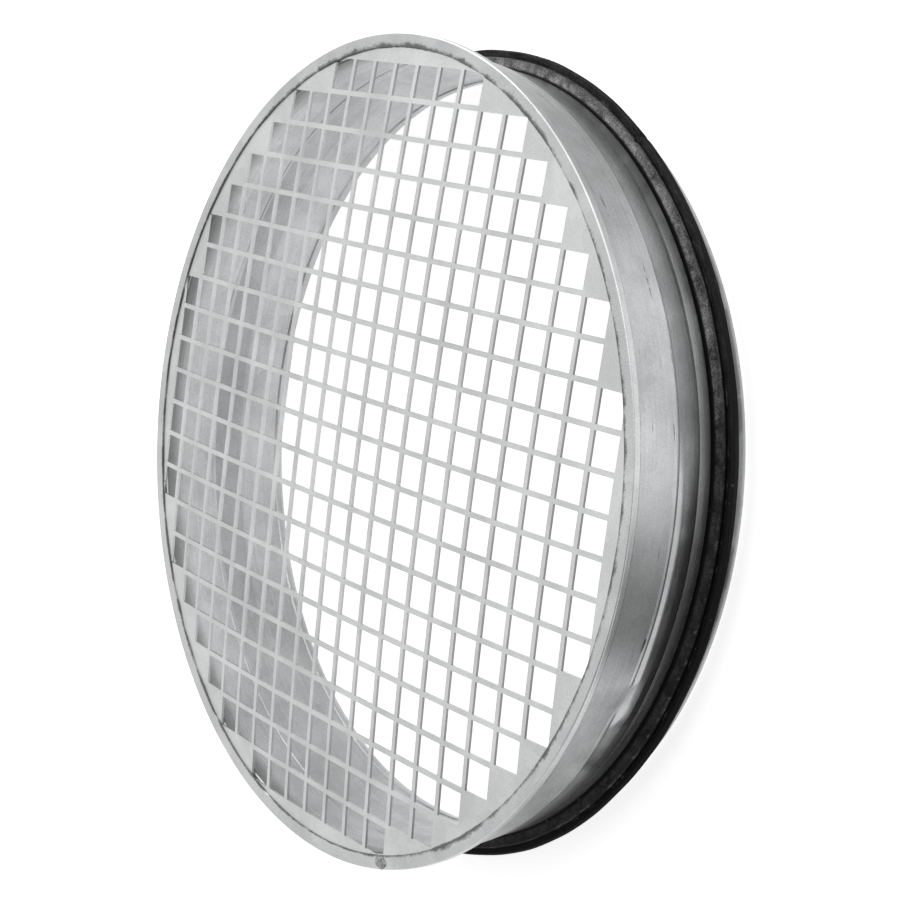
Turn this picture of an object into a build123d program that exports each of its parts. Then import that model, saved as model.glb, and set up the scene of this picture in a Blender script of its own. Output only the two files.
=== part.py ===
"""Duct end cap: a short flanged sleeve with a lip gasket at its rear and a punched mesh disc
held over its front by a folded rim ring.

Millimetres. The cap stands on its rear hem, +Z runs along its axis towards the mesh, and the
mesh bars run along X and Y.
"""
import os
from math import atan2, cos, degrees, radians, sin, sqrt

from build123d import *

# The duct that the cap closes, and how the spigot sits in it
DUCT_BORE_D = 250.0
SPIGOT_PLAY = 0.5

# Sheet metal of the sleeve and the rim ring
SHEET = 0.6
EDGE_BREAK = 0.5

# Heights above the rear end
CAP_DEPTH = 48.5
SHOULDER_TOP = 27.6
CREASE_RUN = 1.2
SHOULDER_FOOT = 18.4
SPIGOT_FOOT = 14.0
SEAT_TOP = 13.2
HEM_LENGTH = 5.2

# Steps of the sleeve's outer surface, from the spigot outwards
GASKET_FOOT = 1.0
BARREL_STEP = 2.1
CREST_RISE = 0.6

# Lap seam of the barrel
SEAM_ANGLE = -22.6
SEAM_WIDTH = 13.5
SEAM_RISE = 0.7

# Punched mesh disc
MESH_SHEET = 0.8
MESH_PITCH = 11.65
MESH_HOLE = 10.0
MESH_MARGIN = 1.7
DOME_RISE = 5.2
CROWN_SIDES = 12
CROWN_STEPS = (1.0, 0.62, 0.28)

# Folded rim ring round the disc and the sleeve's flange
RIM_LEG = 3.6
RIM_EDGE_PLAY = 0.2
RIM_FRONT_LAP = 0.1
RIM_BACK_PLAY = 0.6
RIM_BREAK = 0.8
RIM_SLIT = 0.4
WELD_ANGLE = -72.0
WELD_R = 1.5
WELD_RISE = 0.5

# Lips of the gasket: rises above the spigot, and distances back from the gasket's front
LIP_FRONT_RISE = 3.7
LIP_FRONT_BACK = 1.0
LIP_REAR_RISE = 6.1
LIP_REAR_BACK = 2.4
LIP_REAR_DROP = 1.8
LIP_SPLIT_RISE = 1.4
LIP_SPLIT_BACK = 3.2
LIP_TIP = 0.5
GASKET_PLAY = 0.3
HEEL_RISE = 0.6
HEEL_RUN = 1.5

# Radii of the sleeve's outer surface
SPIGOT_R = DUCT_BORE_D / 2 - SPIGOT_PLAY
SEAT_R = SPIGOT_R - SHEET - GASKET_FOOT
BARREL_R = SPIGOT_R + BARREL_STEP
CREST_R = BARREL_R + CREST_RISE

# The rim ring closes round the sleeve's flange and the disc
STACK = SHEET + MESH_SHEET
RIM_DEPTH = STACK + 2 * SHEET
RIM_LIP_R = BARREL_R + RIM_FRONT_LAP
RIM_R = RIM_LIP_R + RIM_LEG + RIM_EDGE_PLAY + SHEET
FLANGE_R = RIM_LIP_R + RIM_LEG
FLANGE_BACK = CAP_DEPTH - SHEET - STACK
DISC_BACK = CAP_DEPTH - SHEET - MESH_SHEET
MESH_FIELD_R = FLANGE_R - MESH_MARGIN


def point(radius, height):
    """A section point from its radius and its height above the rear end."""
    return Vector(radius, 0, height)


def ring_at(section):
    """Turn a section drawn in the XZ plane once round the axis."""
    return revolve(section, axis=Axis.Z)


def shoulder():
    """The stop shoulder's section: rounded down from the crest to the spigot."""
    crest = point(CREST_R, SHOULDER_TOP - CREASE_RUN)
    foot = point(SPIGOT_R, SHOULDER_FOOT)
    run = crest.Z - foot.Z
    drop = CREST_R - SPIGOT_R
    curve_r = (run * run + drop * drop) / (2 * drop)
    half = atan2(run, curve_r - drop) / 2
    middle = point(CREST_R - curve_r * (1 - cos(half)), crest.Z - curve_r * sin(half))
    return [crest, middle, foot]


def sleeve_path():
    """The sheet's outer side, from the flange's edge to the end of the folded hem."""
    hem_r = SEAT_R + GASKET_FOOT
    corners = [
        point(FLANGE_R, FLANGE_BACK),
        point(BARREL_R, FLANGE_BACK),
        point(BARREL_R, SHOULDER_TOP),
        *shoulder(),
        point(SPIGOT_R, SPIGOT_FOOT),
        point(SEAT_R, SEAT_TOP),
        point(SEAT_R, SHEET),
        point(hem_r, SHEET),
        point(hem_r, HEM_LENGTH),
    ]
    return Wire([Line(a, b) for a, b in zip(corners, corners[1:])])


def lap_seam():
    """The barrel's lapped end, sharp at its free edge and run out at the other."""
    half = degrees(SEAM_WIDTH / BARREL_R) / 2
    inside = BARREL_R - SHEET / 2
    corners = [
        (inside, SEAM_ANGLE + half),
        (BARREL_R + SEAM_RISE, SEAM_ANGLE + half),
        (BARREL_R, SEAM_ANGLE - half),
        (inside, SEAM_ANGLE - half),
    ]
    outline = Polyline(
        *[(r * cos(radians(a)), r * sin(radians(a))) for r, a in corners],
        close=True,
    )
    foot = SHOULDER_TOP - CREASE_RUN
    top = FLANGE_BACK - SHEET - EDGE_BREAK
    return Pos(0, 0, foot) * extrude(make_face(outline), top - foot)


def sleeve():
    """Flange, barrel, stop shoulder, spigot, gasket seat and hem, in one sheet."""
    sheet = sleeve_path().offset_2d(SHEET, kind=Kind.INTERSECTION, side=Side.LEFT, closed=True)
    body = ring_at(make_face(sheet.edges()))
    body = chamfer(body.edges().group_by(Axis.Z)[0], EDGE_BREAK)
    return body + lap_seam()


def crown(foot):
    """The bowed middle of the disc: flat facets that step up from the foot's height."""
    edge_r = BARREL_R - SHEET
    rises = [DOME_RISE * (1 - share * share) for share in CROWN_STEPS[:-1]] + [DOME_RISE]
    outlines = [
        Pos(0, 0, foot + rise) * RegularPolygon(edge_r * share, CROWN_SIDES)
        for share, rise in zip(CROWN_STEPS, rises)
    ]
    return loft(outlines, ruled=True)


def far_corner(x, y):
    """Distance from the axis to the outermost corner of the hole centred at x, y."""
    half = MESH_HOLE / 2
    return sqrt((abs(x) + half) ** 2 + (abs(y) + half) ** 2)


def mesh_disc():
    """The disc with every square hole that lies wholly within the punched field."""
    half_count = int(MESH_FIELD_R / MESH_PITCH)
    steps = [i * MESH_PITCH for i in range(-half_count, half_count + 1)]
    cells = [(x, y) for x in steps for y in steps if far_corner(x, y) <= MESH_FIELD_R]
    squares = Sketch() + [Location(cell) * Rectangle(MESH_HOLE, MESH_HOLE) for cell in cells]
    height = 2 * MESH_SHEET + DOME_RISE
    punches = Pos(0, 0, DISC_BACK - MESH_SHEET / 2) * extrude(squares, height)
    plate = Pos(0, 0, DISC_BACK + MESH_SHEET / 2) * Cylinder(FLANGE_R, MESH_SHEET)
    return plate + crown(DISC_BACK + MESH_SHEET) - crown(DISC_BACK) - punches


def rim_section():
    """U section: a front leg and a shorter back leg joined by a web with broken corners."""
    back = CAP_DEPTH - RIM_DEPTH
    back_lip = BARREL_R + RIM_BACK_PLAY
    inner_web = RIM_R - SHEET
    outline = Polyline(
        point(RIM_LIP_R, CAP_DEPTH),
        point(RIM_R - RIM_BREAK, CAP_DEPTH),
        point(RIM_R, CAP_DEPTH - RIM_BREAK),
        point(RIM_R, back + RIM_BREAK),
        point(RIM_R - RIM_BREAK, back),
        point(back_lip, back),
        point(back_lip, back + SHEET),
        point(inner_web, back + SHEET),
        point(inner_web, CAP_DEPTH - SHEET),
        point(RIM_LIP_R, CAP_DEPTH - SHEET),
        close=True,
    )
    return make_face(outline)


def rim_ring():
    """The folded ring, slit where its ends meet, with a tack weld over the slit."""
    weld_at = RIM_LIP_R + WELD_R
    slit = Pos(RIM_R, 0, CAP_DEPTH - RIM_DEPTH / 2) * Box(4 * RIM_LEG, RIM_SLIT, 2 * RIM_DEPTH)
    on_leg = (Align.CENTER, Align.CENTER, Align.MIN)
    bead = Pos(weld_at, 0, CAP_DEPTH - SHEET) * Cylinder(WELD_R, SHEET + WELD_RISE, align=on_leg)
    bead = chamfer(bead.edges().group_by(Axis.Z)[-1], WELD_RISE / 2)
    turned = Rot(0, 0, WELD_ANGLE)
    return ring_at(rim_section()) - turned * slit + turned * bead


def gasket():
    """Foot under the hem, and two lips that lean towards the front."""
    foot = SEAT_R + GASKET_FOOT
    front = SEAT_TOP - GASKET_PLAY
    front_tip = SPIGOT_R + LIP_FRONT_RISE
    rear_tip = SPIGOT_R + LIP_REAR_RISE
    outline = Polyline(
        point(SEAT_R, SHEET),
        point(foot, SHEET),
        point(foot, HEM_LENGTH),
        point(SPIGOT_R + HEEL_RISE, HEM_LENGTH + LIP_TIP),
        point(rear_tip - LIP_REAR_DROP, HEM_LENGTH + LIP_TIP + HEEL_RUN),
        point(rear_tip, front - LIP_REAR_BACK),
        point(rear_tip - LIP_TIP, front - LIP_REAR_BACK + 2 * LIP_TIP),
        point(foot + LIP_SPLIT_RISE, front - LIP_SPLIT_BACK),
        point(front_tip, front - LIP_FRONT_BACK),
        point(front_tip - LIP_TIP, front),
        point(SEAT_R, front),
        close=True,
    )
    return ring_at(make_face(outline))


def main():
    """Build every piece and write it to its own file."""
    os.makedirs("parts", exist_ok=True)
    pieces = {
        "sleeve": sleeve(),
        "mesh_disc": mesh_disc(),
        "rim_ring": rim_ring(),
        "gasket": gasket(),
    }
    for node, shape in pieces.items():
        export_step(shape, f"parts/{node}.step")


main()
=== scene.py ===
"""Looks of a round duct end cap: galvanised sleeve, punched mesh disc, folded rim ring, lip gasket.

The cap stands on its rear hem. Sizes are in millimetres and become metres in the meshes.
"""

import logging
import math
from dataclasses import dataclass
from enum import Enum
from typing import Any, Callable, ClassVar

import bmesh
import bpy
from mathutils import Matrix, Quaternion, Vector


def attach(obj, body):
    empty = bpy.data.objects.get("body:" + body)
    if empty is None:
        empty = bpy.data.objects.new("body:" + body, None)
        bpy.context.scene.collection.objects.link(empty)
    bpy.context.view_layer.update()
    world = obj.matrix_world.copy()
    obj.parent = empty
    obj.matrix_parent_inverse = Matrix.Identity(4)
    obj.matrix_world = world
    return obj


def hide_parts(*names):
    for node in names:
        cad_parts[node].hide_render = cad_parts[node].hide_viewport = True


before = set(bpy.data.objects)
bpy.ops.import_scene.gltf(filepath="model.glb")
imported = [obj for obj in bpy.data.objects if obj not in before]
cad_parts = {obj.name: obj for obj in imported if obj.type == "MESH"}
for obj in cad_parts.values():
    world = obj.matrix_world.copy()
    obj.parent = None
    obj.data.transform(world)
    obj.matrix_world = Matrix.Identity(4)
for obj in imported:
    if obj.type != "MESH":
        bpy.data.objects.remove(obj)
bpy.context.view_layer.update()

MM = 0.001
BODY = "root"
WHITE = "#ffffff"
TURN = 360.0
ROUND_STEPS = 300
SHARP_ANGLE = 38.0
# The most of an edge that the arc at one of its ends takes up.
ARC_SHARE = 0.49
# Places of the two colour inputs and of the colour output on a Mix node.
MIX_A, MIX_B, MIX_OUT = 6, 7, 2

log = logging.getLogger("duct_end_cap")

Tree = bpy.types.NodeTree
Socket = bpy.types.NodeSocket
Piece = bpy.types.Object
Point = tuple[float, float, float]
Span = tuple[float, float]
Section = list[tuple[float, float]]
Waves = tuple[tuple[int, float, float], ...]
Shift = Callable[[float, float, float], tuple[float, float]]


def linear(code: str) -> tuple[float, float, float, float]:
    """Turn an sRGB hex colour into linear RGBA.

    Args:
        code: Six hex digits with a leading hash.

    Returns:
        The linear colour with full alpha.
    """
    parts = [int(code[i:i + 2], 16) / 255 for i in (1, 3, 5)]
    red, green, blue = [p / 12.92 if p <= 0.04045 else ((p + 0.055) / 1.055) ** 2.4 for p in parts]
    return red, green, blue, 1.0


def put(tree: Tree, kind: str, settings: dict[str, Any] | None = None,
        inputs: dict[Any, Any] | None = None) -> bpy.types.Node:
    """Add a node with its settings, its input values and its links.

    Args:
        tree: The node tree that gets the node.
        kind: The node's type name.
        settings: Attribute values by name.
        inputs: Input values, or output sockets to link from, by input name or index.

    Returns:
        The new node.
    """
    made = tree.nodes.new(kind)
    for name, value in (settings or {}).items():
        setattr(made, name, value)
    for name, value in (inputs or {}).items():
        if isinstance(value, Socket):
            tree.links.new(value, made.inputs[name])
        else:
            made.inputs[name].default_value = value
    return made


def emptied(holder: bpy.types.Material | bpy.types.World) -> Tree:
    """Give a new material or world a node tree with nothing in it.

    Args:
        holder: The material or world.

    Returns:
        Its node tree.
    """
    holder.use_nodes = True
    holder.node_tree.nodes.clear()
    return holder.node_tree


def per_metre(size_mm: float) -> float:
    """Pattern scale, in repeats a metre, of a feature of that size."""
    return 1.0 / (size_mm * MM)


def off_axis(tree: Tree, place: Socket) -> Socket:
    """Find how far a place is from the cap's axis.

    Args:
        tree: The node tree that gets the nodes.
        place: Object coordinates.

    Returns:
        The distance in metres.
    """
    flat = put(tree, "ShaderNodeVectorMath", {"operation": "MULTIPLY"}, {0: place, 1: (1.0, 1.0, 0.0)})
    far = put(tree, "ShaderNodeVectorMath", {"operation": "LENGTH"}, {0: flat.outputs[0]})
    return far.outputs["Value"]


def seen_plainly(tree: Tree) -> Socket:
    """Find the rays that show a background as it is.

    Args:
        tree: The node tree that gets the nodes.

    Returns:
        A value of 1 for rays from the camera, from gloss and through glass, and else 0.
    """
    path = put(tree, "ShaderNodeLightPath")
    seen = put(tree, "ShaderNodeMath", {"operation": "ADD"}, {
        0: path.outputs["Is Camera Ray"], 1: path.outputs["Is Glossy Ray"]})
    seen = put(tree, "ShaderNodeMath", {"operation": "ADD", "use_clamp": True}, {
        0: seen.outputs[0], 1: path.outputs["Is Transmission Ray"]})
    return seen.outputs[0]


@dataclass(frozen=True)
class Corner:
    """One corner of a section, with the radius that it is bent to."""

    radius: float
    height: float
    bend: float = 0.0


def rounded(corners: list[Corner], closed: bool = False, steps: int = 7) -> Section:
    """Draw a section through its corners, with an arc at every bend.

    Args:
        corners: The corners in order.
        closed: True where the last corner joins the first.
        steps: Spans of each arc.

    Returns:
        Points as radius and height in millimetres.
    """
    points: Section = []
    count = len(corners)
    for i, corner in enumerate(corners):
        at = Vector((corner.radius, corner.height))
        if corner.bend <= 0 or (not closed and i in (0, count - 1)):
            points.append((at.x, at.y))
            continue
        before, after = corners[i - 1], corners[(i + 1) % count]
        back = Vector((before.radius, before.height)) - at
        ahead = Vector((after.radius, after.height)) - at
        half = back.angle(ahead) / 2
        reach = min(corner.bend / math.tan(half), back.length * ARC_SHARE, ahead.length * ARC_SHARE)
        radius = reach * math.tan(half)
        middle = at + (back.normalized() + ahead.normalized()).normalized() * (radius / math.sin(half))
        start = at + back.normalized() * reach - middle
        sweep = start.angle_signed(at + ahead.normalized() * reach - middle)
        for k in range(steps + 1):
            swing = -sweep * k / steps
            c, s = math.cos(swing), math.sin(swing)
            points.append((middle.x + start.x * c - start.y * s, middle.y + start.x * s + start.y * c))
    return points


def turned(name: str, section: Section, angles: list[float], closed: bool, shift: Shift) -> Piece:
    """Turn a closed section round the axis into a mesh.

    Args:
        name: Name of the new object.
        section: Closed section as radius and height.
        angles: Places round the axis in degrees.
        closed: True for a whole ring, False for one with two capped ends.
        shift: Extra radius and height, from the angle, radius and height.

    Returns:
        The object, already riding on the cap.
    """
    points: list[Point] = []
    for angle in angles:
        c, s = math.cos(math.radians(angle)), math.sin(math.radians(angle))
        for r, z in section:
            more_r, more_z = shift(angle, r, z)
            points.append(((r + more_r) * c * MM, (r + more_r) * s * MM, (z + more_z) * MM))
    row = len(section)
    faces: list[tuple[int, ...]] = []
    spans = len(angles) if closed else len(angles) - 1
    for a in range(spans):
        here, there = a * row, ((a + 1) % len(angles)) * row
        for k in range(row):
            n = (k + 1) % row
            faces.append((here + k, there + k, there + n, here + n))
    if not closed:
        faces.append(tuple(range(row)))
        faces.append(tuple(reversed(range((len(angles) - 1) * row, len(angles) * row))))
    mesh = bpy.data.meshes.new(name)
    mesh.from_pydata(points, [], faces)
    return placed(name, mesh)


def placed(name: str, mesh: bpy.types.Mesh) -> Piece:
    """Put a mesh in the scene, smooth between its sharp edges, as a piece that rides on the cap.

    Args:
        name: Name of the new object.
        mesh: The mesh in metres, in the cap's frame.

    Returns:
        The new object.
    """
    shell = bmesh.new()
    shell.from_mesh(mesh)
    bmesh.ops.recalc_face_normals(shell, faces=shell.faces)
    shell.to_mesh(mesh)
    shell.free()
    mesh.shade_smooth()
    mesh.set_sharp_from_angle(angle=math.radians(SHARP_ANGLE))
    made = bpy.data.objects.new(name, mesh)
    bpy.context.scene.collection.objects.link(made)
    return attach(made, BODY)


def evenly(count: int, start: float = 0.0, run: float = TURN) -> list[float]:
    """Angles at even steps over a run, without its end."""
    return [start + run * k / count for k in range(count)]


def ripple(angle: float, waves: Waves) -> float:
    """Sum of slow waves round the axis.

    Args:
        angle: Place round the axis in degrees.
        waves: Count round the ring, height and phase in degrees of each wave.

    Returns:
        The height at that place.
    """
    return sum(h * math.sin(math.radians(n * angle + p)) for n, h, p in waves)


def between(x: float, low: float, high: float) -> float:
    """Smooth step from 0 at low to 1 at high."""
    t = min(max((x - low) / (high - low), 0.0), 1.0)
    return t * t * (3 - 2 * t)


class Soil(Enum):
    """Where handling dirt has settled on a galvanised piece, and where painted shade lies on it."""

    NONE = "none"
    RIM_EDGE = "rim edge"
    BARREL = "barrel"


@dataclass(frozen=True)
class DirtAndShade:
    """Workshop dirt, rubbed and settled: grey grease and dust that take the metal's shine away, with
    painted shade at the rim's lap and in the corner behind the disc.
    """

    where: Soil = Soil.NONE
    # This colour serves the dirt and the painted shade alike.
    colour: str = "#484848"
    dulling: float = 0.8
    radius_mm: float = 126.7
    # At the rim's lap: a dark line of painted shade with dirt flecks, thin on one side of the cap and
    # wide, in flecks, on the other.
    width_mm: float = 2.6
    thin_share: float = 0.3
    wide_side: Point = (0.87, 0.5, 0.0)
    wide_mm: Span = (-45.0, 10.0)
    cling_and_lap_shade: float = 0.39
    blot_mm: float = 9.0
    caked_and_shaded: Span = (0.7, 0.86)
    caked_and_shaded_most: float = 0.85
    # On the barrel: short nicks outside, and painted shade inside, darkening the corner behind the disc.
    # Nicks are a few tenths of a millimetre wide and are drawn coarser, so that they show.
    skin_mm: float = 0.2
    nick_mm: float = 1.1
    nick_run_mm: float = 20.0
    nicked: Span = (0.69, 0.76)
    chip_mm: float = 2.4
    chipped: Span = (0.42, 0.56)
    painted_shade_mm: Span = (39.0, 46.0)
    painted_shade_most: float = 0.55

    def mask(self, tree: Tree, place: Socket) -> Socket:
        """Find the dirt and the painted shade at each place.

        Args:
            tree: The material's node tree.
            place: Object coordinates.

        Returns:
            The share of dirt and painted shade, from 0 to 1.
        """
        off = put(tree, "ShaderNodeMath", {"operation": "SUBTRACT"}, {
            0: off_axis(tree, place), 1: self.radius_mm * MM})
        if self.where is Soil.RIM_EDGE:
            return self.at_rim(tree, place, off.outputs[0])
        return self.on_barrel(tree, place, off.outputs[0])

    def at_rim(self, tree: Tree, place: Socket, off: Socket) -> Socket:
        """Lay a line of painted shade along the rim's lap, with dirt flecks broken up beside it.

        Args:
            tree: The material's node tree.
            place: Object coordinates.
            off: Distance outwards from the lap, in metres.

        Returns:
            The share of dirt and painted shade, from 0 to 1.
        """
        width = self.width_mm * MM
        away = put(tree, "ShaderNodeMath", {"operation": "ABSOLUTE"}, {0: off})
        side = put(tree, "ShaderNodeVectorMath", {"operation": "DOT_PRODUCT"}, {
            0: place, 1: self.wide_side})
        wide = put(tree, "ShaderNodeMapRange", inputs={
            "Value": side.outputs["Value"],
            "From Min": self.wide_mm[0] * MM, "From Max": self.wide_mm[1] * MM,
            "To Min": self.thin_share * width, "To Max": width})
        # Painted shade: next to the lap the line stays dark and unbroken, as the shadow where the lip
        # meets the disc; the noise adds dirt flecks.
        near = put(tree, "ShaderNodeMapRange", inputs={
            "Value": away.outputs[0], "From Min": 0.0, "From Max": wide.outputs["Result"],
            "To Min": self.cling_and_lap_shade, "To Max": 0.0})
        blot = put(tree, "ShaderNodeTexNoise", inputs={
            "Vector": place, "Scale": per_metre(self.blot_mm), "Detail": 9.0, "Roughness": 0.78})
        caked_and_shaded = put(tree, "ShaderNodeMath", {"operation": "ADD"}, {
            0: near.outputs["Result"], 1: blot.outputs["Fac"]})
        mask = put(tree, "ShaderNodeMapRange", inputs={
            "Value": caked_and_shaded.outputs[0], "From Min": self.caked_and_shaded[0], "From Max": self.caked_and_shaded[1],
            "To Max": self.caked_and_shaded_most})
        return mask.outputs["Result"]

    def on_barrel(self, tree: Tree, place: Socket, off: Socket) -> Socket:
        """Strew nicks over the barrel's outside, and paint shade into the corner inside it.

        Args:
            tree: The material's node tree.
            place: Object coordinates.
            off: Distance outwards from the barrel's skin, in metres.

        Returns:
            The share of dirt and painted shade, from 0 to 1.
        """
        outer = put(tree, "ShaderNodeMapRange", inputs={
            "Value": off, "From Min": -self.skin_mm * MM, "From Max": 0.0})
        run = per_metre(self.nick_run_mm)
        along = put(tree, "ShaderNodeMapping", inputs={
            "Vector": place, "Scale": (run, run, per_metre(self.nick_mm))})
        rub = put(tree, "ShaderNodeTexNoise", inputs={
            "Vector": along.outputs["Vector"], "Scale": 1.0, "Detail": 1.0, "Roughness": 0.4})
        line = put(tree, "ShaderNodeMapRange", inputs={
            "Value": rub.outputs["Fac"], "From Min": self.nicked[0], "From Max": self.nicked[1]})
        chip = put(tree, "ShaderNodeTexNoise", inputs={
            "Vector": place, "Scale": per_metre(self.chip_mm), "Detail": 4.0, "Roughness": 0.7})
        dot = put(tree, "ShaderNodeMapRange", inputs={
            "Value": chip.outputs["Fac"], "From Min": self.chipped[0], "From Max": self.chipped[1]})
        nick = put(tree, "ShaderNodeMath", {"operation": "MULTIPLY"}, {
            0: line.outputs["Result"], 1: dot.outputs["Result"]})
        nick = put(tree, "ShaderNodeMath", {"operation": "MULTIPLY"}, {
            0: nick.outputs[0], 1: outer.outputs["Result"]})
        # Painted shade: the inner wall darkens towards the disc, as the shadow in the corner behind it.
        apart = put(tree, "ShaderNodeSeparateXYZ", inputs={0: place})
        corner = put(tree, "ShaderNodeMapRange", {"interpolation_type": "SMOOTHSTEP"}, {
            "Value": apart.outputs["Z"], "From Min": self.painted_shade_mm[0] * MM,
            "From Max": self.painted_shade_mm[1] * MM, "To Max": self.painted_shade_most})
        inner = put(tree, "ShaderNodeMath", {"operation": "SUBTRACT"}, {
            0: 1.0, 1: outer.outputs["Result"]})
        corner = put(tree, "ShaderNodeMath", {"operation": "MULTIPLY"}, {
            0: corner.outputs["Result"], 1: inner.outputs[0]})
        return put(tree, "ShaderNodeMath", {"operation": "MAXIMUM"}, {
            0: nick.outputs[0], 1: corner.outputs[0]}).outputs[0]


@dataclass(frozen=True)
class GalvanisedSteel:
    """Hot-dip galvanised sheet steel, rolled: a soft grey metal with faint streaks round the cap.

    Rolling marks, zinc crystals and grain are finer than the render can show. They are drawn several
    times as coarse, so that a trace of them still shows.
    """

    name: str
    light: str = "#c6c7c8"
    dark: str = "#a3a4a5"
    roughness: float = 0.3
    roughness_spread: float = 0.1
    streak_mm: float = 0.8
    streak_run_mm: float = 70.0
    streak_span: Span = (0.3, 0.7)
    streak_share: float = 0.3
    streak_relief: float = 0.7
    patch_mm: float = 26.0
    spangle_mm: float = 5.0
    spangle_share: float = 0.14
    grain_mm: float = 0.55
    grain_share: float = 0.6
    tone_span: Span = (0.62, 1.42)
    stretch: float = 0.1
    quarter_turn: ClassVar[float] = 0.25
    bump_mm: float = 0.02
    bump_strength: float = 0.5
    dirt_and_shade: DirtAndShade = DirtAndShade()

    def material(self) -> bpy.types.Material:
        """Build the node material.

        Returns:
            The material of this finish.
        """
        made = bpy.data.materials.new(self.name)
        tree = emptied(made)
        place = put(tree, "ShaderNodeTexCoord").outputs["Object"]
        round_run = per_metre(self.streak_run_mm)
        along = put(tree, "ShaderNodeMapping", inputs={
            "Vector": place, "Scale": (round_run, round_run, per_metre(self.streak_mm))})
        streak = put(tree, "ShaderNodeTexNoise", inputs={
            "Vector": along.outputs["Vector"], "Scale": 1.0, "Detail": 4.0,
            "Roughness": 0.62}).outputs["Fac"]
        patch = put(tree, "ShaderNodeTexNoise", inputs={
            "Vector": place, "Scale": per_metre(self.patch_mm), "Detail": 3.0, "Roughness": 0.5})
        spangle = put(tree, "ShaderNodeTexVoronoi", inputs={
            "Vector": place, "Scale": per_metre(self.spangle_mm), "Randomness": 1.0})
        grain = put(tree, "ShaderNodeTexNoise", inputs={
            "Vector": place, "Scale": per_metre(self.grain_mm), "Detail": 2.0}).outputs["Fac"]
        flake = put(tree, "ShaderNodeSeparateColor", inputs={0: spangle.outputs["Color"]}).outputs[0]
        tone = patch.outputs["Fac"]
        marks = ((flake, self.spangle_share), (streak, self.streak_share), (grain, self.grain_share))
        for mark, share in marks:
            tone = put(tree, "ShaderNodeMath", {"operation": "MULTIPLY_ADD"}, {
                0: mark, 1: share, 2: tone}).outputs[0]
        blend = put(tree, "ShaderNodeMapRange", {"interpolation_type": "SMOOTHSTEP"}, {
            "Value": tone, "From Min": self.tone_span[0], "From Max": self.tone_span[1]})
        zinc = put(tree, "ShaderNodeMix", {"data_type": "RGBA"}, {
            "Factor": blend.outputs["Result"], MIX_A: linear(self.dark), MIX_B: linear(self.light)})
        rough = put(tree, "ShaderNodeMapRange", inputs={
            "Value": streak, "From Min": self.streak_span[0], "From Max": self.streak_span[1],
            "To Min": self.roughness + self.roughness_spread / 2,
            "To Max": self.roughness - self.roughness_spread / 2})
        height = put(tree, "ShaderNodeMath", {"operation": "MULTIPLY_ADD"}, {
            0: streak, 1: self.streak_relief, 2: grain})
        bump = put(tree, "ShaderNodeBump", inputs={
            "Height": height.outputs[0], "Strength": self.bump_strength, "Distance": self.bump_mm * MM})
        round_axis = put(tree, "ShaderNodeTangent", {"direction_type": "RADIAL", "axis": "Z"})
        shader = put(tree, "ShaderNodeBsdfPrincipled", inputs={
            "Base Color": zinc.outputs[MIX_OUT], "Metallic": 1.0, "Roughness": rough.outputs["Result"],
            "Anisotropic": self.stretch, "Anisotropic Rotation": self.quarter_turn,
            "Tangent": round_axis.outputs[0], "Normal": bump.outputs["Normal"]})
        if self.dirt_and_shade.where is not Soil.NONE:
            self.soiled_and_shaded(tree, place, shader, zinc.outputs[MIX_OUT])
        put(tree, "ShaderNodeOutputMaterial", inputs={"Surface": shader.outputs[0]})
        return made

    def soiled_and_shaded(self, tree: Tree, place: Socket, shader: bpy.types.Node, zinc: Socket) -> None:
        """Lay the dirt and the painted shade over the zinc, which hides its colour and most of its metal
        shine.

        Args:
            tree: The material's node tree.
            place: Object coordinates.
            shader: The shader that gets the soiled colour.
            zinc: The clean colour.
        """
        mask = self.dirt_and_shade.mask(tree, place)
        # The mask carries dirt and painted shade alike into the colour and the shine.
        dirty = put(tree, "ShaderNodeMix", {"data_type": "RGBA"}, {
            "Factor": mask, MIX_A: zinc, MIX_B: linear(self.dirt_and_shade.colour)})
        tree.links.new(dirty.outputs[MIX_OUT], shader.inputs["Base Color"])
        clean = put(tree, "ShaderNodeMath", {"operation": "MULTIPLY_ADD"}, {
            0: mask, 1: -self.dirt_and_shade.dulling, 2: 1.0})
        tree.links.new(clean.outputs[0], shader.inputs["Metallic"])


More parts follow.
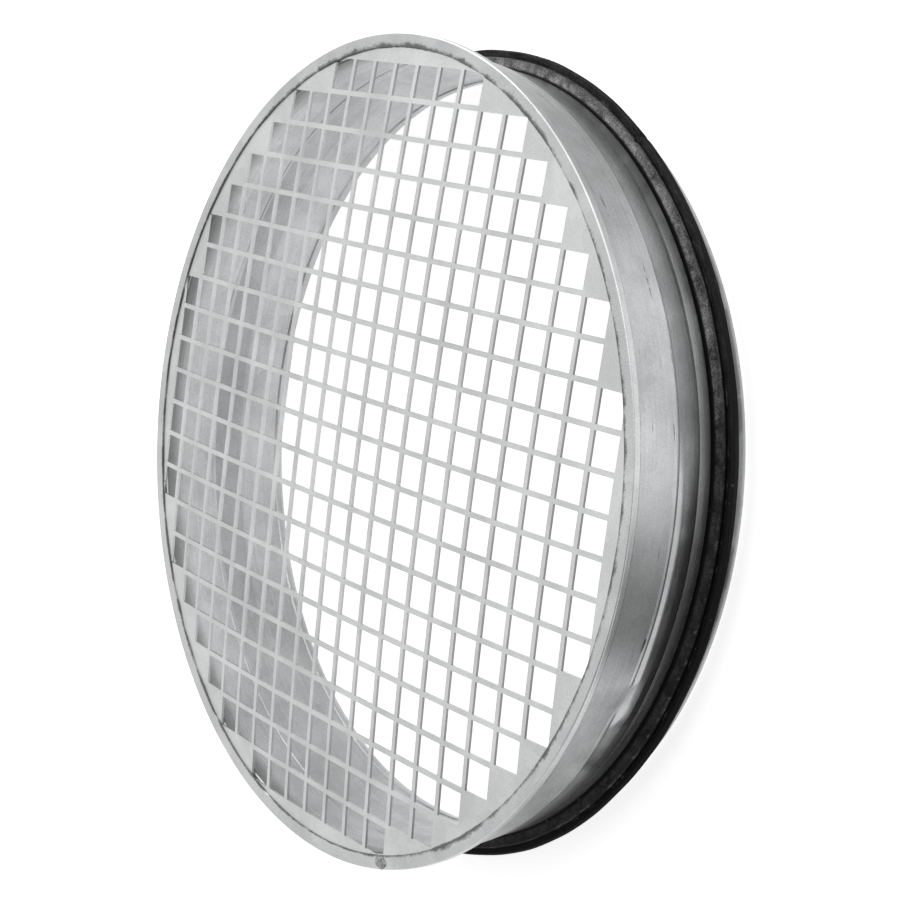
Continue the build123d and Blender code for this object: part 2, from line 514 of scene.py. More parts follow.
@dataclass(frozen=True)
class DustyRubber:
    """Extruded EPDM rubber: matt black with talc left on the lips that it was packed in.

    The talc's powder and the rubber's grain are far finer than a pixel and are drawn coarser.
    """

    name: str
    black: str = "#0c0c0c"
    talc: str = "#d0d0d0"
    roughness: float = 0.8
    talc_roughness: float = 0.95
    gloss: float = 0.2
    grain_mm: float = 0.5
    bump_mm: float = 0.05
    bump_strength: float = 0.35
    # Talc lies on the front lip's face, from its root outwards, and mostly on one side of the cap.
    dust_mm: float = 0.9
    dust_run_mm: float = 6.0
    worn: Span = (0.36, 0.68)
    lip_mm: Span = (9.8, 12.9)
    side_mm: Span = (5.0, 75.0)
    side_least: float = 0.14
    reach_mm: Span = (124.8, 130.2)
    reach_least: float = 0.16
    root_mm: Span = (124.7, 125.5)
    speck: Span = (0.35, 0.65)
    speck_strength: Span = (0.45, 1.25)
    # Pale scuffs, most of them along the lip's edge.
    scuff_mm: float = 5.0
    scuffed: Span = (0.62, 0.86)
    scuff_most: float = 0.34
    lip_edge_mm: float = 127.9
    lip_edge_width_mm: float = 0.6
    lip_edge_more: float = 0.15

    def material(self) -> bpy.types.Material:
        """Build the node material.

        Returns:
            The material of this finish.
        """
        made = bpy.data.materials.new(self.name)
        tree = emptied(made)
        place = put(tree, "ShaderNodeTexCoord").outputs["Object"]
        far = off_axis(tree, place)
        grain = put(tree, "ShaderNodeTexNoise", inputs={
            "Vector": place, "Scale": per_metre(self.grain_mm), "Detail": 2.0}).outputs["Fac"]
        dust = put(tree, "ShaderNodeMath", {"operation": "MAXIMUM"}, {
            0: self.talced(tree, place, far, grain), 1: self.scuffs(tree, place, far)}).outputs[0]
        colour = put(tree, "ShaderNodeMix", {"data_type": "RGBA"}, {
            "Factor": dust, MIX_A: linear(self.black), MIX_B: linear(self.talc)})
        rough = put(tree, "ShaderNodeMapRange", inputs={
            "Value": dust, "To Min": self.roughness, "To Max": self.talc_roughness})
        bump = put(tree, "ShaderNodeBump", inputs={
            "Height": grain, "Strength": self.bump_strength, "Distance": self.bump_mm * MM})
        shader = put(tree, "ShaderNodeBsdfPrincipled", inputs={
            "Base Color": colour.outputs[MIX_OUT], "Roughness": rough.outputs["Result"], "IOR": 1.5,
            "Specular IOR Level": self.gloss, "Normal": bump.outputs["Normal"]})
        put(tree, "ShaderNodeOutputMaterial", inputs={"Surface": shader.outputs[0]})
        return made

    def talced(self, tree: Tree, place: Socket, far: Socket, grain: Socket) -> Socket:
        """Dust the front lip with talc, in worn clouds.

        Args:
            tree: The material's node tree.
            place: Object coordinates.
            far: Distance from the axis, in metres.
            grain: The rubber's grain, which breaks the talc into specks.

        Returns:
            The share of talc, from 0 to 1.
        """
        apart = put(tree, "ShaderNodeSeparateXYZ", inputs={0: place})
        front = put(tree, "ShaderNodeMapRange", {"interpolation_type": "SMOOTHSTEP"}, {
            "Value": apart.outputs["Z"],
            "From Min": self.lip_mm[0] * MM, "From Max": self.lip_mm[1] * MM})
        upper = put(tree, "ShaderNodeMapRange", {"interpolation_type": "SMOOTHSTEP"}, {
            "Value": apart.outputs["Y"], "From Min": self.side_mm[0] * MM,
            "From Max": self.side_mm[1] * MM, "To Min": self.side_least})
        run = per_metre(self.dust_run_mm)
        along = put(tree, "ShaderNodeMapping", inputs={
            "Vector": place, "Scale": (run, run, per_metre(self.dust_mm))})
        cloud = put(tree, "ShaderNodeTexNoise", inputs={
            "Vector": along.outputs["Vector"], "Scale": 1.0, "Detail": 8.0, "Roughness": 0.78})
        worn = put(tree, "ShaderNodeMapRange", inputs={
            "Value": cloud.outputs["Fac"], "From Min": self.worn[0], "From Max": self.worn[1]})
        reach = put(tree, "ShaderNodeMapRange", {"interpolation_type": "SMOOTHSTEP"}, {
            "Value": far, "From Min": self.reach_mm[0] * MM, "From Max": self.reach_mm[1] * MM,
            "To Min": 1.0, "To Max": self.reach_least})
        root = put(tree, "ShaderNodeMapRange", inputs={
            "Value": far, "From Min": self.root_mm[0] * MM, "From Max": self.root_mm[1] * MM})
        speck = put(tree, "ShaderNodeMapRange", inputs={
            "Value": grain, "From Min": self.speck[0], "From Max": self.speck[1],
            "To Min": self.speck_strength[0], "To Max": self.speck_strength[1]})
        dust = front.outputs["Result"]
        for share in (worn, upper, reach, root):
            dust = put(tree, "ShaderNodeMath", {"operation": "MULTIPLY"}, {
                0: dust, 1: share.outputs["Result"]}).outputs[0]
        return put(tree, "ShaderNodeMath", {"operation": "MULTIPLY", "use_clamp": True}, {
            0: dust, 1: speck.outputs["Result"]}).outputs[0]

    def scuffs(self, tree: Tree, place: Socket, far: Socket) -> Socket:
        """Scuff the rubber, most of all along the lip's edge.

        Args:
            tree: The material's node tree.
            place: Object coordinates.
            far: Distance from the axis, in metres.

        Returns:
            The strength of the scuffs, from 0 to 1.
        """
        off = put(tree, "ShaderNodeMath", {"operation": "SUBTRACT"}, {0: far, 1: self.lip_edge_mm * MM})
        off = put(tree, "ShaderNodeMath", {"operation": "ABSOLUTE"}, {0: off.outputs[0]})
        edge = put(tree, "ShaderNodeMapRange", inputs={
            "Value": off.outputs[0], "From Min": 0.0, "From Max": self.lip_edge_width_mm * MM,
            "To Min": self.lip_edge_more, "To Max": 0.0})
        blot = put(tree, "ShaderNodeTexNoise", inputs={
            "Vector": place, "Scale": per_metre(self.scuff_mm), "Detail": 6.0, "Roughness": 0.75})
        scuff = put(tree, "ShaderNodeMath", {"operation": "ADD"}, {
            0: edge.outputs["Result"], 1: blot.outputs["Fac"]})
        return put(tree, "ShaderNodeMapRange", inputs={
            "Value": scuff.outputs[0], "From Min": self.scuffed[0], "From Max": self.scuffed[1],
            "To Max": self.scuff_most}).outputs["Result"]


@dataclass(frozen=True)
class StudioPaper:
    """Seamless white paper: it takes the cap's soft shadow and otherwise shows white."""

    name: str
    colour: str = "#f4f4f4"
    roughness: float = 0.9
    gloss: float = 0.1
    glow: float = 0.7

    def material(self) -> bpy.types.Material:
        """Build the node material.

        Returns:
            The material of this finish.
        """
        made = bpy.data.materials.new(self.name)
        tree = emptied(made)
        strength = put(tree, "ShaderNodeMath", {"operation": "MULTIPLY"}, {
            0: seen_plainly(tree), 1: self.glow})
        shader = put(tree, "ShaderNodeBsdfPrincipled", inputs={
            "Base Color": linear(self.colour), "Roughness": self.roughness,
            "Specular IOR Level": self.gloss,
            "Emission Color": linear(WHITE), "Emission Strength": strength.outputs[0]})
        put(tree, "ShaderNodeOutputMaterial", inputs={"Surface": shader.outputs[0]})
        return made


@dataclass(frozen=True)
class BlackGauze:
    """Woven black gauze of the kind laid beside shiny metal: matt, and denser in its middle."""

    name: str
    colour: str = "#1a1a1a"
    roughness: float = 0.95
    gloss: float = 0.1
    shade: ClassVar[str] = "shade"

    def material(self) -> bpy.types.Material:
        """Build the node material.

        Returns:
            The material of this finish.
        """
        made = bpy.data.materials.new(self.name)
        tree = emptied(made)
        dense = put(tree, "ShaderNodeAttribute", {"attribute_name": self.shade})
        shader = put(tree, "ShaderNodeBsdfPrincipled", inputs={
            "Base Color": linear(self.colour), "Roughness": self.roughness,
            "Specular IOR Level": self.gloss, "Alpha": dense.outputs["Fac"]})
        put(tree, "ShaderNodeOutputMaterial", inputs={"Surface": shader.outputs[0]})
        return made


@dataclass
class Sleeve:
    """The rolled sleeve: flange, barrel, creased stop shoulder, spigot, gasket seat and hem."""

    sheet: float = 0.6
    flange_r: float = 130.3
    flange_back: float = 46.5
    barrel_r: float = 126.6
    bead_z: float = 28.7
    bead_rise: float = 0.2
    bead_half: float = 0.8
    crease_z: float = 27.7
    crease_dip: float = 0.25
    crest_r: float = 127.05
    crest_z: float = 26.4
    belly_out: float = 0.35
    belly_up: float = 0.4
    shoulder_foot: float = 18.4
    toe_out: float = 0.4
    toe_up: float = 0.5
    spigot_r: float = 124.5
    spigot_foot: float = 14.0
    seat_r: float = 122.9
    seat_top: float = 13.2
    foot_gap: float = 1.0
    hem_length: float = 5.2
    # The inner side: a bead at the rear edge, a soft flare and a low ridge behind the crease.
    bead_in: float = 0.5
    bead_in_top: float = 3.2
    bead_in_slope: float = 0.6
    flare_low: float = 3.0
    flare_in: float = 0.5
    flare_drop: float = 1.4
    ridge_in: float = 0.3
    ridge_low: float = 0.8
    ridge_mid: float = 0.1
    ridge_top: float = 0.5
    # The sheet is wavy except near the flange, which holds it true.
    waves: ClassVar[Waves] = ((5, 0.05, 20), (13, 0.03, 70), (29, 0.015, 10))
    held_from: float = 3.0
    held_to: float = 1.0
    # The lap of the sheet's ends, in degrees round the axis: it sinks at once and rises slowly.
    lap_start: float = -19.4
    lap_end: float = -26.2
    lap_lowest: float = 0.35
    lap_rise: float = 12.0
    lap_sink: float = 0.95
    lap_foot: float = 24.3
    lap_fade: float = 2.2
    lap_level: float = 0.1
    # Where the lap's level patch fades in and out, in degrees from its two ends.
    lap_near: Span = (0.6, -0.9)
    lap_far: Span = (2.2, -2.0)
    # The bead and the crest show only beside the lap, and the outer skin is pressed plain elsewhere.
    press_reach: float = 1.0
    press_slope: float = 0.165
    press_dip: float = 0.03
    crest_start: Span = (14.0, -2.0)
    crest_end: Span = (1.0, -2.0)
    # The inner ridge shows only on one stretch, in degrees round the axis.
    ridge_zone: Span = (-0.2, 0.6)
    ridge_start: Span = (150.0, 179.0)
    ridge_end: Span = (-85.0, -110.0)
    # How deep in the spigot's sheet the line lies that parts its outer side from its inner one.
    skin_share: float = 0.75
    # Columns added round the lap, and how far they reach past its two ends.
    fine_steps: int = 40
    fine_before: float = 5.0
    fine_after: float = 2.0

    def outside(self) -> Section:
        """Draw the sheet's outer side.

        Returns:
            The points from the flange's edge to the end of the hem.
        """
        middle_r = (self.crest_r + self.spigot_r) / 2 + self.belly_out
        middle_z = (self.crest_z + self.shoulder_foot) / 2 + self.belly_up
        fold_r = self.seat_r + self.foot_gap
        return rounded([
            Corner(self.flange_r, self.flange_back),
            Corner(self.barrel_r, self.flange_back, 0.7),
            Corner(self.barrel_r, self.bead_z + self.bead_half, 1.0),
            Corner(self.barrel_r + self.bead_rise, self.bead_z, 0.35),
            Corner(self.barrel_r - self.crease_dip, self.crease_z, 0.3),
            Corner(self.crest_r, self.crest_z, 1.6),
            Corner(middle_r, middle_z, 12.0),
            Corner(self.spigot_r + self.toe_out, self.shoulder_foot + self.toe_up, 0.6),
            Corner(self.spigot_r, self.shoulder_foot, 0.3),
            Corner(self.spigot_r, self.spigot_foot, 0.5),
            Corner(self.seat_r, self.seat_top, 0.5),
            Corner(self.seat_r, self.sheet, 0.5),
            Corner(fold_r, self.sheet, 0.5),
            Corner(fold_r, self.hem_length),
        ])

    def inside(self) -> Section:
        """Draw the sheet's inner side, which the rolling leaves soft.

        Returns:
            The points from the end of the hem to the flange's edge.
        """
        hem_r = self.seat_r + self.foot_gap + self.sheet
        bore_r = self.seat_r - self.sheet
        neck_r = self.spigot_r - self.sheet - self.flare_in
        wall_r = self.barrel_r - self.sheet
        return rounded([
            Corner(hem_r, self.hem_length),
            Corner(hem_r, 0.0, 1.0),
            Corner(bore_r - self.bead_in, 0.0, 0.6),
            Corner(bore_r - self.bead_in, self.bead_in_top - self.bead_in_slope, 0.35),
            Corner(bore_r, self.bead_in_top, 0.6),
            Corner(bore_r, self.seat_top - self.flare_low, 20.0),
            Corner(neck_r, self.shoulder_foot - self.flare_drop, 18.0),
            Corner(wall_r - self.ridge_in / 2, self.crease_z - self.ridge_low, 4.0),
            Corner(wall_r - self.ridge_in, self.crease_z + self.ridge_mid, 0.2),
            Corner(wall_r, self.crease_z + self.ridge_top, 0.3),
            Corner(wall_r, self.flange_back + self.sheet, 1.2),
            Corner(self.flange_r, self.flange_back + self.sheet),
        ])

    def uneven(self, angle: float, r: float, z: float) -> tuple[float, float]:
        """Waviness of the rolled sheet, and the flat where its ends lap.

        Args:
            angle: Place round the axis in degrees.
            r: Radius of the point.
            z: Height of the point.

        Returns:
            Extra radius and extra height.
        """
        if not self.shoulder_foot < z < self.flange_back - self.held_to:
            return 0.0, 0.0
        fade = 1 - between(z, self.flange_back - self.held_from, self.flange_back - self.held_to)
        more = fade * between(z, self.shoulder_foot, self.crease_z) * ripple(angle, self.waves)
        more -= fade * self.sunk(angle, z)
        climb = min((z - self.shoulder_foot) / (self.crease_z - self.shoulder_foot), 1.0)
        low_skin = self.spigot_r - self.skin_share * self.sheet
        if r > low_skin + climb * (self.barrel_r - self.sheet / 2 - low_skin):
            if z < self.bead_z + self.press_reach:
                more += self.pressed(angle, r, z)
        elif self.ridge_zone[0] < z - self.crease_z < self.ridge_zone[1]:
            crisp = between(angle, *self.ridge_end) + between(angle, *self.ridge_start)
            more += (1 - crisp) * (self.barrel_r - self.sheet - r)
        return more, 0.0

    def sunk(self, angle: float, z: float) -> float:
        """How far the lap draws the sheet in.

        Args:
            angle: Place round the axis in degrees.
            z: Height of the point.

        Returns:
            The distance inwards.
        """
        middle = self.lap_end + self.lap_lowest * (self.lap_start - self.lap_end)
        down = min(max((self.lap_start - angle) / (self.lap_start - middle), 0.0), 1.0)
        back = 1 - between(angle, middle, self.lap_end - self.lap_rise)
        return self.lap_sink * down * back * between(z, self.lap_foot - self.lap_fade, self.bead_z)

    def pressed(self, angle: float, r: float, z: float) -> float:
        """How far the outer skin is pressed at the crease: plain away from the lap, and level on it.

        Args:
            angle: Place round the axis in degrees.
            r: Radius of the point.
            z: Height of the point.

        Returns:
            Extra radius.
        """
        past = angle - self.lap_end
        patch = between(angle - self.lap_start, *self.lap_near) * (1 - between(past, *self.lap_far))
        plain = 1 - between(angle, *self.crest_start) * (1 - between(past, *self.crest_end))
        below = max(self.crease_z - z, 0.0)
        low = self.barrel_r - (self.crease_dip + self.press_slope * below if below else self.press_dip)
        held = between(z, self.lap_foot - self.lap_fade, self.lap_foot)
        return plain * min(low - r, 0.0) + patch * held * (self.barrel_r + self.lap_level - r)

    def build(self, finish: GalvanisedSteel) -> list[Piece]:
        """Make the sleeve's mesh and dress it.

        Args:
            finish: The sheet's finish.

        Returns:
            The sleeve's pieces.
        """
        run = self.lap_start - self.lap_end + self.fine_before + self.fine_after
        fine = evenly(self.fine_steps, self.lap_end - self.fine_before, run)
        angles = sorted({round(a, 3) for a in evenly(ROUND_STEPS, -180.0) + fine})
        made = turned("sleeve_sheet", self.outside() + self.inside(), angles, True, self.uneven)
        made.data.materials.append(finish.material())
        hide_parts("sleeve")
        return [made]


@dataclass
class MeshDisc:
    """The punched disc: square holes in rows, a stepped solid border and a shallow crown."""

    sheet: float = 0.8
    pitch: float = 11.65
    hole: float = 10.0
    field_r: float = 128.6
    disc_r: float = 130.3
    crown_r: float = 126.0
    crown_rise: float = 5.2
    back: float = 47.1
    roll: float = 0.2
    roll_steps: int = 2
    # Level edges that fold by more than this many radians are rolled over.
    fold: float = 1.2
    level: float = 0.1
    # Points closer than this are one point.
    same: float = 0.001

    def holes(self) -> list[tuple[float, float]]:
        """Find the holes that lie wholly within the punched field.

        Returns:
            Their centres.
        """
        count = int(self.field_r / self.pitch)
        steps = [k * self.pitch for k in range(-count, count + 1)]
        half = self.hole / 2
        return [(x, y) for x in steps for y in steps
                if math.hypot(abs(x) + half, abs(y) + half) <= self.field_r]

    def crown(self, x: float, y: float) -> float:
        """Rise of the disc at a place, in metres."""
        share = min(math.hypot(x, y) / (self.crown_r * MM), 1.0)
        return self.crown_rise * MM * (1 - share * share)

    def trimmed(self, outline: Section, rim: Section) -> Section:
        """Cut an outline off at the disc's edge.

        Args:
            outline: Corners of a flat patch, in order.
            rim: Corners of the disc's edge, counter-clockwise.

        Returns:
            The corners of what is left inside the edge.
        """
        for (ax, ay), (bx, by) in zip(rim, rim[1:] + rim[:1]):
            inside = [(bx - ax) * (y - ay) - (by - ay) * (x - ax) for x, y in outline]
            if min(inside, default=0.0) >= 0:
                continue
            kept: Section = []
            for k, (x, y) in enumerate(outline):
                (px, py), before = outline[k - 1], inside[k - 1]
                if (before >= 0) != (inside[k] >= 0):
                    t = before / (before - inside[k])
                    kept.append((px + (x - px) * t, py + (y - py) * t))
                if inside[k] >= 0:
                    kept.append((x, y))
            outline = kept
        return outline

    def patches(self) -> list[Section]:
        """Divide the solid parts of the punched sheet: bars, crossings and border.

        Returns:
            Flat patches that meet at their edges.
        """
        count = int(self.disc_r / self.pitch) + 1
        half = self.hole / 2
        breaks = sorted(k * self.pitch + side for k in range(-count, count + 1) for side in (-half, half))
        rim = [(self.disc_r * math.cos(math.radians(a)), self.disc_r * math.sin(math.radians(a)))
               for a in evenly(ROUND_STEPS)]
        punched = {(round(x / self.pitch), round(y / self.pitch)) for x, y in self.holes()}
        kept: list[Section] = []
        for x0, x1 in zip(breaks, breaks[1:]):
            for y0, y1 in zip(breaks, breaks[1:]):
                in_hole = min(x1 - x0, y1 - y0) > self.pitch / 2
                cell = (round((x0 + x1) / 2 / self.pitch), round((y0 + y1) / 2 / self.pitch))
                if in_hole and cell in punched:
                    continue
                patch = self.trimmed([(x0, y0), (x1, y0), (x1, y1), (x0, y1)], rim)
                if len(patch) > 2:
                    kept.append(patch)
        return kept

    def build(self, finish: GalvanisedSteel) -> list[Piece]:
        """Make the punched disc and dress it.

        Args:
            finish: The disc's finish.

        Returns:
            The disc's pieces.
        """
        shell = bmesh.new()
        for patch in self.patches():
            shell.faces.new([shell.verts.new((x * MM, y * MM, 0.0)) for x, y in patch])
        bmesh.ops.remove_doubles(shell, verts=shell.verts, dist=self.same * MM)
        front = bmesh.ops.extrude_face_region(shell, geom=list(shell.faces), use_keep_orig=True)
        for item in front["geom"]:
            if isinstance(item, bmesh.types.BMVert):
                item.co.z += self.sheet * MM
        edges = [e for e in shell.edges if len(e.link_faces) == 2 and e.calc_face_angle() > self.fold
                 and abs(e.verts[0].co.z - e.verts[1].co.z) < self.level * MM]
        bmesh.ops.bevel(shell, geom=edges, offset=self.roll * MM, segments=self.roll_steps, profile=0.5,
                        affect="EDGES")
        for v in shell.verts:
            v.co.z += self.back * MM + self.crown(v.co.x, v.co.y)
        mesh = bpy.data.meshes.new("punched_disc")
        shell.to_mesh(mesh)
        shell.free()
        made = placed("punched_disc", mesh)
        made.data.materials.append(finish.material())
        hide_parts("mesh_disc")
        return [made]


@dataclass
class RimRing:
    """The folded ring that clamps the disc to the sleeve's flange, tacked where its ends meet."""

    sheet: float = 0.6
    lip_r: float = 126.7
    back_lip_r: float = 127.2
    outer_r: float = 131.1
    front: float = 48.5
    depth: float = 2.6
    fold: float = 0.55
    slit: float = 0.4
    waves: ClassVar[Waves] = ((17, 0.05, 0), (41, 0.05, 50), (67, 0.03, 15))
    weld_angle: float = -72.0
    weld_r: float = 1.95
    weld_long: float = 1.5
    weld_rise: float = 0.9
    weld_in: float = 0.2
    weld_sink: float = 0.05
    weld_waves: ClassVar[Waves] = ((2, 0.11, 30), (5, 0.06, 80))
    weld_around: int = 28
    weld_rings: int = 6

    def section(self) -> Section:
        """Draw the ring's U section.

        Returns:
            The closed section.
        """
        back = self.front - self.depth
        web = self.outer_r - self.sheet
        return rounded([
            Corner(self.lip_r, self.front - self.sheet, 0.1),
            Corner(self.lip_r, self.front, 0.25),
            Corner(self.outer_r, self.front, self.fold),
            Corner(self.outer_r, back, self.fold),
            Corner(self.back_lip_r, back, 0.2),
            Corner(self.back_lip_r, back + self.sheet, 0.1),
            Corner(web, back + self.sheet, 0.3),
            Corner(web, self.front - self.sheet, 0.3),
        ], closed=True)

    def hand_closed(self, angle: float, r: float, z: float) -> tuple[float, float]:
        """Slight unevenness of a fold closed by hand, at every height alike.

        Args:
            angle: Place round the axis in degrees.
            r: Radius of the point.
            z: Height of the point, not used.

        Returns:
            Extra radius and extra height.
        """
        inner = 1 - between(r, self.lip_r, self.outer_r)
        return inner * ripple(angle, self.waves), 0.0

    def build(self, finish: GalvanisedSteel, scorched: GalvanisedSteel) -> list[Piece]:
        """Make the ring with its slit and weld, and dress them.

        Args:
            finish: The ring's finish.
            scorched: The weld's finish.

        Returns:
            The ring's pieces.
        """
        gap = math.degrees(self.slit / self.outer_r)
        run = TURN - gap
        start = self.weld_angle + gap / 2
        angles = [start + run * k / ROUND_STEPS for k in range(ROUND_STEPS + 1)]
        ring = turned("rim_fold", self.section(), angles, False, self.hand_closed)
        ring.data.materials.append(finish.material())
        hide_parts("rim_ring")
        return [ring, self.weld(scorched)]

    def weld(self, finish: GalvanisedSteel) -> Piece:
        """Make the tack weld as a low uneven bead.

        Args:
            finish: The weld's finish.

        Returns:
            The bead.
        """
        centre_r = self.lip_r + self.weld_r + self.weld_in
        c, s = math.cos(math.radians(self.weld_angle)), math.sin(math.radians(self.weld_angle))
        points = [(centre_r * c * MM, centre_r * s * MM, (self.front + self.weld_rise) * MM)]
        faces: list[tuple[int, ...]] = []
        around, rings = self.weld_around, self.weld_rings
        for j in range(1, rings + 1):
            lean = math.pi / 2 * j / rings
            rise = self.weld_rise * math.cos(lean) - self.weld_sink * j / rings
            for a in evenly(around):
                reach = self.weld_r * math.sin(lean) * (1 + ripple(a, self.weld_waves))
                out = centre_r + reach * math.cos(math.radians(a))
                aside = self.weld_long * reach * math.sin(math.radians(a))
                x, y = out * c - aside * s, out * s + aside * c
                points.append((x * MM, y * MM, (self.front + rise) * MM))
        for k in range(around):
            n = (k + 1) % around
            faces.append((0, 1 + k, 1 + n))
            for j in range(rings - 1):
                faces.append((1 + j * around + k, 1 + (j + 1) * around + k,
                              1 + (j + 1) * around + n, 1 + j * around + n))
        faces.append(tuple(reversed(range(1 + (rings - 1) * around, 1 + rings * around))))
        mesh = bpy.data.meshes.new("tack_weld")
        mesh.from_pydata(points, [], faces)
        made = placed("tack_weld", mesh)
        made.data.materials.append(finish.material())
        return made


@dataclass
class Gasket:
    """The lip gasket: a foot under the hem and two lips that lean to the front."""

    seat_r: float = 122.9
    foot_r: float = 123.9
    spigot_r: float = 124.5
    foot_z: float = 0.6
    hem_z: float = 5.2
    front_z: float = 12.9
    front_rise: float = 3.7
    rear_rise: float = 6.1
    tip: float = 0.5
    joint_angle: float = 57.0
    joint_nick: float = 0.8
    joint_half: float = 0.8
    nick_span: Span = (0.1, 0.6)
    joint_steps: int = 8
    free_from: float = 0.8
    slack_in: float = 0.1
    out_waves: ClassVar[Waves] = ((11, 0.06, 15), (23, 0.05, 60), (47, 0.03, 5))
    up_waves: ClassVar[Waves] = ((9, 0.12, 40), (31, 0.06, 10))

    def section(self) -> Section:
        """Draw the gasket's section.

        Returns:
            The closed section.
        """
        front_tip = self.spigot_r + self.front_rise
        rear_tip = self.spigot_r + self.rear_rise
        return rounded([
            Corner(self.seat_r, self.foot_z),
            Corner(self.foot_r, self.foot_z),
            Corner(self.foot_r, self.hem_z),
            Corner(self.spigot_r + 0.6, self.hem_z + 0.5, 0.4),
            Corner(rear_tip - 1.8, self.hem_z + 2.0, 1.2),
            Corner(rear_tip, self.front_z - 2.4, 0.35),
            Corner(rear_tip - self.tip, self.front_z - 1.4, 0.3),
            Corner(self.foot_r + 1.4, self.front_z - 3.2, 0.4),
            Corner(front_tip, self.front_z - 1.0, 0.35),
            Corner(front_tip - self.tip, self.front_z, 0.3),
            Corner(self.seat_r, self.front_z),
        ], closed=True, steps=5)

    def slack(self, angle: float, r: float, z: float) -> tuple[float, float]:
        """Gentle waves of the free lips at every height, and the nick where the strip's ends meet.

        Args:
            angle: Place round the axis in degrees.
            r: Radius of the point.
            z: Height of the point, not used.

        Returns:
            Extra radius and extra height.
        """
        free = between(r, self.spigot_r + self.free_from, self.spigot_r + self.rear_rise)
        nick = self.joint_nick * (1 - between(abs(angle - self.joint_angle), *self.nick_span))
        return (free * (ripple(angle, self.out_waves) - self.slack_in - nick),
                free * ripple(angle, self.up_waves))

    def build(self, finish: DustyRubber) -> list[Piece]:
        """Make the gasket's mesh and dress it.

        Args:
            finish: The rubber's finish.

        Returns:
            The gasket's pieces.
        """
        joint = evenly(self.joint_steps, self.joint_angle - self.joint_half, 2 * self.joint_half)
        angles = sorted({round(a, 3) for a in evenly(ROUND_STEPS) + joint})
        made = turned("lip_gasket", self.section(), angles, True, self.slack)
        made.data.materials.append(finish.material())
        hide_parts("gasket")
        return [made]


@dataclass(frozen=True)
class Lamp:
    """A square soft light: degrees round the axis from +X and above the floor, metres away and wide."""

    name: str
    azimuth: float
    elevation: float
    away: float
    size: float
    watts: float


@dataclass(frozen=True)
class Card:
    """A card on the floor: edges and blackest place in degrees, how black, inner and outer radius."""

    name: str
    start: float
    peak: float
    end: float
    depth: float
    near: float = 125.5
    far: float = 260.0


